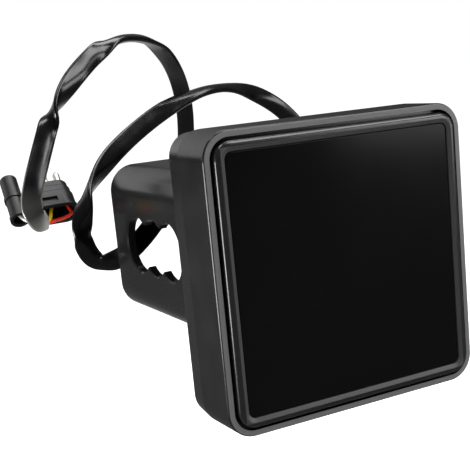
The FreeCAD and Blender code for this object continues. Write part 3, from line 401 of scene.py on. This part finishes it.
def sleeve_vinyl():
    """Soft black vinyl: glossy, a little uneven, with a pale end and pale edges beside it."""
    finish = Finish("sleeve_vinyl")
    along = finish.attribute("along")
    around = finish.reckon("ABSOLUTE", finish.attribute("around"), 0)

    def paling(far, near, strength):
        return finish.spread(along, 0, strength, lead_length - far, lead_length - near)

    lip = paling(*PALE_LIP)
    edges = paling(*PALE_EDGES)
    stretch = paling(*PALE_STRETCH)
    on_edge = finish.spread(around, 0, 1, *EDGE_BAND)
    pale = finish.reckon("MAXIMUM", lip, finish.reckon("MULTIPLY", edges, on_edge))
    pale = finish.reckon("MAXIMUM", pale, stretch)
    finish.join(finish.mix(pale, SLEEVE_BLACK, STRETCHED_GREY), finish.shader.inputs["Base Color"])
    finish.gloss(0.18, 0.26, patches=120)
    finish.set(specular_ior_level=0.5)
    finish.bump(finish.noise(38, detail=0), depth=0.002)
    return finish.material


lead_line = read_line("lead_line", LEAD_ROUTE, LEAD_STEPS)
lead_length = sum((b - a).length for a, b in zip(lead_line, lead_line[1:]))
sleeve = make_sleeve("lead_sleeve", lead_line, len(LEAD_ROUTE))
sleeve.data.materials.append(sleeve_vinyl())
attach(sleeve, "root")
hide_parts("lead")

# The four wires in the lead: stranded copper in coloured vinyl, bare of their sleeve inside
# the housing and for the last centimetre before the plug, where each bends its own way to
# the tail of its pin, or of the barrel's socket.
WIRE_COLOURS = {
    "red": (0.85, 0.035, 0.012),
    "yellow": (0.85, 0.6, 0.01),
    "brown": (0.13, 0.05, 0.02),
    "white": (0.75, 0.75, 0.72),
}
WIRE_SHADE = 0.8
WIRE_RADIUS = 0.00065
WIRE_STEPS = 10
WIRE_SPACING = 0.0016
# The wires start this far inside the sleeve and run straight for this long.
WIRE_START = 0.001
WIRE_STRAIGHT = 0.0022
MERGE_WITHIN = 0.000001
# The plug's own axes start in the middle of the barrel's wire end, and go across to the
# pins, out through the plug's flat side and ahead to the pins' tips.
PLUG_END = Vector((-0.0525, 0.1045, 0.009))
PLUG_AHEAD = Vector((0.09, 0.78, 0.61)).normalized()
PLUG_ACROSS = Vector((0.99, -0.14, 0.03))
PLUG_ACROSS = (PLUG_ACROSS - PLUG_AHEAD * PLUG_ACROSS.dot(PLUG_AHEAD)).normalized()
PLUG_OUT = PLUG_AHEAD.cross(PLUG_ACROSS)
PIN_TAIL_DEPTH = 0.005
SOCKET_TAIL_DEPTH = 0.003
# Each wire's bends after the sleeve, as (across, out, ahead), down to its tail.
WIRE_BENDS = {
    "red": [
        (0.0096, 0.0026, -0.001),
        (0.0135, 0.0019, -0.001),
        (0.0168, 0.0012, -0.0009),
        (0.0186, 0.0006, 0.0002),
        (0.0178, 0.0002, 0.0022),
        (0.0172, 0, PIN_TAIL_DEPTH),
    ],
    "yellow": [
        (0.0099, 0.0012, -0.0012),
        (0.0108, 0.0007, 0),
        (0.0114, -0.0006, 0.0022),
        (0.0126, 0, PIN_TAIL_DEPTH),
    ],
    "brown": [
        (0.0082, -0.001, -0.0008),
        (0.008, -0.0002, 0.0018),
        (0.008, 0, PIN_TAIL_DEPTH),
    ],
    "white": [
        (0.0066, -0.0004, -0.0016),
        (0.0036, 0.0004, -0.0014),
        (0.001, 0.0003, 0.0004),
        (0, 0, SOCKET_TAIL_DEPTH),
    ],
}


def mouth_way(piece):
    """Which way the sleeve's width lies at its cut end, the last ring before the two hubs."""
    ring = len(sleeve_section())
    last = [v.co.copy() for v in piece.data.vertices[-2 - ring : -2]]
    return (last[0] - last[FACE_STEPS]).normalized()


def dress(names, material):
    """Gives the frame's own pieces a finish."""
    for name in names:
        for holder in nodes[name].material_slots:
            holder.material = material


def wire_vinyl(name, colour):
    """Coloured vinyl with a soft gloss, a little darker in patches."""
    finish = Finish("wire_vinyl_" + name)
    finish.colour(colour, tuple(WIRE_SHADE * c for c in colour), patches=500)
    finish.gloss(0.3, 0.42, patches=900)
    return finish.material


def make_wire(name, route):
    """A round wire along its smooth route, with closed ends."""
    line = read_line(name, route, WIRE_STEPS)
    curve = bpy.data.curves.new(name, "CURVE")
    curve.dimensions = "3D"
    curve.bevel_depth = WIRE_RADIUS
    curve.bevel_resolution = 4
    curve.use_fill_caps = True
    spline = curve.splines.new("POLY")
    spline.points.add(len(line) - 1)
    for point, place in zip(spline.points, line):
        point.co = (*place, 1)
    holder = bpy.data.objects.new(name, curve)
    scene.collection.objects.link(holder)
    pick(holder)
    bpy.ops.object.convert(target="MESH")
    piece = bpy.context.object
    turn_out(piece, MERGE_WITHIN)
    return piece


sleeve_width_way = mouth_way(sleeve)
sleeve_end_way = (lead_line[-1] - lead_line[-2]).normalized()
wires_start = lead_line[-1] - sleeve_end_way * WIRE_START
middle_wire = (len(WIRE_COLOURS) - 1) / 2
for number, (name, colour) in enumerate(WIRE_COLOURS.items()):
    material = wire_vinyl(name, colour)
    dress(["board_wire_" + name], material)
    start = wires_start + sleeve_width_way * WIRE_SPACING * (middle_wire - number)
    route = [start, start + sleeve_end_way * WIRE_STRAIGHT]
    for across, out, ahead in WIRE_BENDS[name]:
        route.append(PLUG_END + PLUG_ACROSS * across + PLUG_OUT * out + PLUG_AHEAD * ahead)
    wire = make_wire("plug_lead_" + name, route)
    wire.data.materials.append(material)
    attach(wire, "root")
    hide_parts("plug_wire_" + name)

# The flat plug: one black moulding of hard rubber-like vinyl, an oval shell round three bare
# pins and a round barrel beside it round one socket. Its skin is matt with a fine grain.
PLUG_BLACK = (0.006, 0.006, 0.0064)
PATCH_LIGHT = 1.25
GLOSS_PATCHES = 1.7


def moulded(name, colour, roughness, specular, grain_size, grain_depth, patches=60):
    """Moulded plastic: the tool's grain, with patches of lighter skin and smaller duller ones."""
    finish = Finish(name)
    finish.colour(colour, tuple(PATCH_LIGHT * c for c in colour), patches)
    finish.gloss(*roughness, patches * GLOSS_PATCHES)
    finish.set(specular_ior_level=specular)
    finish.bump(finish.noise(1 / grain_size, detail=2), grain_depth)
    return finish


plug_vinyl = moulded(
    "plug_vinyl", PLUG_BLACK, (0.32, 0.42), specular=0.35, grain_size=0.0003, grain_depth=0.00005
)
dress(["plug_shell"], plug_vinyl.material)

# The plug's contacts: three turned pins with blunt ends and one socket, brass with a pale
# nickel plating, pushed into the plug from its wire end.
NICKEL = (0.86, 0.83, 0.74)
PLATING_SHADE = 0.8


def plating(name, colour, roughness):
    """Plated metal, a little dulled, with fine turning marks."""
    finish = Finish(name)
    finish.colour(colour, tuple(PLATING_SHADE * c for c in colour), patches=700)
    finish.gloss(*roughness, patches=1500)
    finish.set(metallic=1.0)
    finish.bump(finish.noise(4000, detail=2), depth=0.00001)
    return finish.material


pin_plating = plating("pin_plating", NICKEL, (0.28, 0.42))
dress(["plug_pin_1", "plug_pin_2", "plug_pin_3", "barrel_socket"], pin_plating)

# The housing: a rear cover moulded in one with the hollow shank, and a front frame screwed to
# it from behind. Both are black glass-filled nylon with a fine satin grain. The narrow rim at
# the very front is rougher, and painted grey: a painted sheen for the light its face catches.
HOUSING_BLACK = (0.0055, 0.0055, 0.0057)
RIM_PAINTED_SHEEN_GREY = (0.095, 0.095, 0.097)
RIM_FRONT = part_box("front_housing")[0].y
RIM_FACE_DEPTH = 0.00012
housing_nylon = moulded(
    "housing_nylon", HOUSING_BLACK, (0.18, 0.23), specular=0.3, grain_size=0.00022, grain_depth=0.000006
)
# The rim's front face is painted grey here: a painted sheen, not a colour of the nylon.
on_rim_painted_sheen = housing_nylon.spread(
    housing_nylon.across("Y"), 1.0, 0.0, RIM_FRONT + 0.2 * RIM_FACE_DEPTH, RIM_FRONT + RIM_FACE_DEPTH
)
housing_nylon.cover(on_rim_painted_sheen, RIM_PAINTED_SHEEN_GREY, roughness=0.42)
dress(["rear_shell", "front_housing"], housing_nylon.material)

# The bezel: a raised frame pressed into the front, moulded in black and polished, so that its
# round shoulder carries a bright line all the way round. Its inner slope, down to the lens, is
# rougher, and painted grey: a painted sheen for the light that it reflects.
BEZEL_BLACK = (0.008, 0.008, 0.0083)
SLOPE_PAINTED_SHEEN_GREY = (0.03, 0.03, 0.031)
LENS_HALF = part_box("smoked_lens")[1].x
SLOPE_WIDTH = 0.0013
bezel_gloss = moulded(
    "bezel_gloss", BEZEL_BLACK, (0.2, 0.25), specular=0.5, grain_size=0.0004, grain_depth=0.000004
)
from_middle = bezel_gloss.reckon(
    "MAXIMUM",
    bezel_gloss.reckon("ABSOLUTE", bezel_gloss.across("X"), 0),
    bezel_gloss.reckon("ABSOLUTE", bezel_gloss.across("Z"), 0),
)
# The inner slope is painted grey here: a painted sheen for its reflection, not the moulding's colour.
on_slope_painted_sheen = bezel_gloss.spread(
    from_middle, 1.0, 0.0, LENS_HALF + 0.9 * SLOPE_WIDTH, LENS_HALF + 1.1 * SLOPE_WIDTH
)
bezel_gloss.cover(on_slope_painted_sheen, SLOPE_PAINTED_SHEEN_GREY, roughness=0.45)
dress(["lens_bezel"], bezel_gloss.material)

# The lens: a flat plate of smoked acrylic, so dark that the lamps behind it don't show
# unlit, polished on both faces.
LENS_SMOKE = (0.0024, 0.0024, 0.0027)
lens_smoke = moulded(
    "lens_smoke",
    LENS_SMOKE,
    (0.14, 0.17),
    specular=0.1,
    grain_size=0.004,
    grain_depth=0.000004,
    patches=20,
)
dress(["smoked_lens"], lens_smoke.material)

# The seals: a flat foam ring under the lens, a rubber cord between the halves of the
# housing, and the rubber grommet that the lead comes through.
SEAL_BLACK = (0.013, 0.013, 0.013)
seal_rubber = moulded(
    "seal_rubber", SEAL_BLACK, (0.6, 0.75), specular=0.3, grain_size=0.0002, grain_depth=0.00004
)
dress(["lens_gasket", "body_gasket", "lead_grommet"], seal_rubber.material)

# The circuit board: green solder mask over glass cloth, with the lamps' clear domes on its
# front, and resistors and diodes soldered to its back.
MASK_GREENS = ((0.012, 0.11, 0.045), (0.018, 0.14, 0.06))
CLOTH_SCALE = 400
RESIN_YELLOWS = ((0.8, 0.76, 0.6), (0.85, 0.8, 0.5))
CHIP_BLACK = (0.02, 0.02, 0.022)


def solder_mask():
    """Green lacquer, with the weave of the glass cloth showing through."""
    finish = Finish("solder_mask")
    cloth = finish.node("TexWave", wave_type="BANDS", bands_direction="DIAGONAL")
    cloth.inputs["Scale"].default_value = CLOTH_SCALE
    finish.join(finish.place(), cloth.inputs["Vector"])
    share = finish.spread(cloth.outputs["Fac"], 0, 1, 0, 1)
    finish.join(finish.mix(share, *MASK_GREENS), finish.shader.inputs["Base Color"])
    finish.gloss(0.3, 0.4, patches=90)
    finish.bump(cloth.outputs["Fac"], depth=0.00001)
    return finish.material


def lamp_resin():
    """Clear resin over a yellow chip."""
    finish = Finish("lamp_resin")
    finish.colour(*RESIN_YELLOWS, patches=500)
    finish.gloss(0.08, 0.15, patches=300)
    finish.set(transmission_weight=0.3)
    return finish.material


dress(["circuit_board"], solder_mask())
dress([name for name in nodes if name.startswith("led_")], lamp_resin())
chip_black = moulded(
    "chip_black", CHIP_BLACK, (0.5, 0.62), specular=0.35, grain_size=0.0001, grain_depth=0.00001
)
dress([name for name in nodes if name.startswith(("resistor_", "diode_"))], chip_black.material)

# The screws: cross-head thread-forming screws, zinc plated steel, four through the rear
# cover and four through the board.
ZINC_GREY = (0.6, 0.6, 0.62)
zinc = plating("zinc", ZINC_GREY, (0.3, 0.45))
dress(["housing_screws", "board_screws"], zinc)

# The studio: a white floor below the light, which hangs over it as it does on its hitch, a
# white room, soft boxes, and a dark drape that is drawn over all of it, so that black plastic
# looks black. The camera sees neither the boxes nor the drape.
FLOOR_HEIGHT = -0.16
FLOOR_SIZE = 14
FLOOR_WHITE = (0.8, 0.8, 0.8, 1)
FLOOR_GLOW = 0.62
LIGHT_WHITE = (1, 1, 1, 1)
# How bright the room is as a lamp, and as it is seen.
ROOM_LIGHT = 0.6
ROOM_SEEN = 1.0


def seen_directly(tree):
    """One for what the camera sees, straight or in a mirror or through glass, and else nought."""
    path = tree.nodes.new("ShaderNodeLightPath")
    share = path.outputs["Is Camera Ray"]
    for name in ("Is Glossy Ray", "Is Transmission Ray"):
        larger = tree.nodes.new("ShaderNodeMath")
        larger.operation = "MAXIMUM"
        tree.links.new(share, larger.inputs[0])
        tree.links.new(path.outputs[name], larger.inputs[1])
        share = larger.outputs[0]
    return share


def scaled(tree, value, low, high):
    """A node that turns nought and one into low and high."""
    made = tree.nodes.new("ShaderNodeMapRange")
    made.inputs["To Min"].default_value = low
    made.inputs["To Max"].default_value = high
    tree.links.new(value, made.inputs["Value"])
    return made.outputs["Result"]


bpy.ops.object.select_all(action="DESELECT")
bpy.ops.mesh.primitive_plane_add(size=FLOOR_SIZE, location=(0, 0, FLOOR_HEIGHT))
floor = bpy.context.object
floor.name = "floor"
paper = Finish("floor_paper")
paper.set(base_color=FLOOR_WHITE, roughness=0.9, specular_ior_level=0.0)
paper.set(emission_color=LIGHT_WHITE)
glow = scaled(paper.tree, seen_directly(paper.tree), 0.0, FLOOR_GLOW)
paper.join(glow, paper.shader.inputs["Emission Strength"])
floor.data.materials.append(paper.material)

world = bpy.data.worlds.new("white_room")
scene.world = world
world.use_nodes = True
background = world.node_tree.nodes["Background"]
background.inputs["Color"].default_value = LIGHT_WHITE
strength = scaled(world.node_tree, seen_directly(world.node_tree), ROOM_LIGHT, ROOM_SEEN)
world.node_tree.links.new(strength, background.inputs["Strength"])

# The drape is a closed tent, only just clear of the floor. A height on it is that of the way
# to it from the light, from nought at the light's own level to one straight above.
DRAPE_REACH = 2.4
DRAPE_CLEARANCE = 0.002
LOW_GREY = 0.12
LOW_BAND = (-0.12, -0.06)
CEILING_GREYS = (0.06, 0.12)
CEILING_BAND = (0.2, 1.0)
# Two pools of light on it: the way to each, how tight it is, how bright its middle is and
# the heights between which the drape's dark band cuts it off.
GLOW_WAY = Vector((-0.4, 0.91, 0.2)).normalized()
GLOW_TIGHTNESS = 6
GLOW_BRIGHTNESS = 1.0
GLOW_BAND = (0.03, 0.12)
RIM_GLOW_WAY = Vector((0.47, 0.86, -0.2)).normalized()
RIM_GLOW_TIGHTNESS = 14
RIM_GLOW_BRIGHTNESS = 0.7
RIM_GLOW_BAND = (-0.06, 0.0)

bpy.ops.object.select_all(action="DESELECT")
bpy.ops.mesh.primitive_uv_sphere_add(segments=64, ring_count=32, radius=DRAPE_REACH)
drape = bpy.context.object
drape.name = "drape"
for vert in drape.data.vertices:
    vert.co.z = max(vert.co.z, FLOOR_HEIGHT + DRAPE_CLEARANCE)


def drape_cloth():
    """Dark grey cloth, with a wide pool of light behind the light and a tight one lower down."""
    finish = Finish("drape_cloth")
    way = finish.node("VectorMath", operation="NORMALIZE")
    finish.join(finish.place(), way.inputs[0])
    height = finish.node("SeparateXYZ")
    finish.join(way.outputs["Vector"], height.inputs["Vector"])

    def rising(low, high, band):
        """Goes from low to high as the height goes through a band."""
        return finish.spread(height.outputs["Z"], low, high, *band)

    def pool(middle, tightness, brightness):
        """A round pool of light that fades from its middle."""
        towards = finish.node("VectorMath", operation="DOT_PRODUCT")
        towards.inputs[1].default_value = middle
        finish.join(way.outputs["Vector"], towards.inputs[0])
        cosine = finish.reckon("MAXIMUM", towards.outputs["Value"], 0.0)
        return finish.reckon("MULTIPLY", finish.reckon("POWER", cosine, tightness), brightness)

    low = rising(LOW_GREY, 0.0, LOW_BAND)
    sunk = rising(1.0, 0.0, RIM_GLOW_BAND)
    risen = rising(0.0, 1.0, GLOW_BAND)
    ceiling = rising(*CEILING_GREYS, CEILING_BAND)
    glow = pool(GLOW_WAY, GLOW_TIGHTNESS, GLOW_BRIGHTNESS)
    high = finish.reckon("MULTIPLY", finish.reckon("ADD", glow, ceiling), risen)
    rim_glow = pool(RIM_GLOW_WAY, RIM_GLOW_TIGHTNESS, RIM_GLOW_BRIGHTNESS)
    rim = finish.reckon("MULTIPLY", rim_glow, sunk)
    finish.set(base_color=(0, 0, 0, 1), roughness=1.0, specular_ior_level=0.0)
    finish.set(emission_color=LIGHT_WHITE)
    total = finish.reckon("ADD", finish.reckon("ADD", low, high), rim)
    finish.join(total, finish.shader.inputs["Emission Strength"])
    return finish.material


drape.data.materials.append(drape_cloth())
drape.visible_camera = False
drape.visible_diffuse = False
drape.visible_transmission = False
drape.visible_shadow = False

# The soft boxes, each aimed at the light: the way to it, how far off it is, its width and
# height, and how bright its face is. In turn they stand at the left, above the right front,
# nearly straight above, above the back and at the right front.
SOFT_BOXES = {
    "left_box": ((-0.93, 0.3, -0.14), 0.55, 0.5, 0.17, 17),
    "top_box": ((0.45, -0.42, 0.76), 0.8, 0.4, 0.58, 7),
    "upper_left_box": ((-0.35, 0.05, 0.93), 0.8, 0.3, 0.22, 9),
    "overhead_box": ((0.2, 0.36, 0.91), 0.8, 0.45, 0.4, 6),
    "right_box": ((0.7, -0.7, 0.13), 0.9, 0.4, 0.32, 6),
}
for name, (way, distance, width, height, brightness) in SOFT_BOXES.items():
    lamp_data = bpy.data.lights.new(name, "AREA")
    lamp_data.shape = "RECTANGLE"
    lamp_data.size = width
    lamp_data.size_y = height
    lamp_data.energy = brightness * math.pi * width * height
    lamp = bpy.data.objects.new(name, lamp_data)
    scene.collection.objects.link(lamp)
    towards = Vector(way).normalized()
    lamp.location = towards * distance
    lamp.rotation_euler = towards.to_track_quat("Z", "Y").to_euler()
    lamp.visible_camera = False
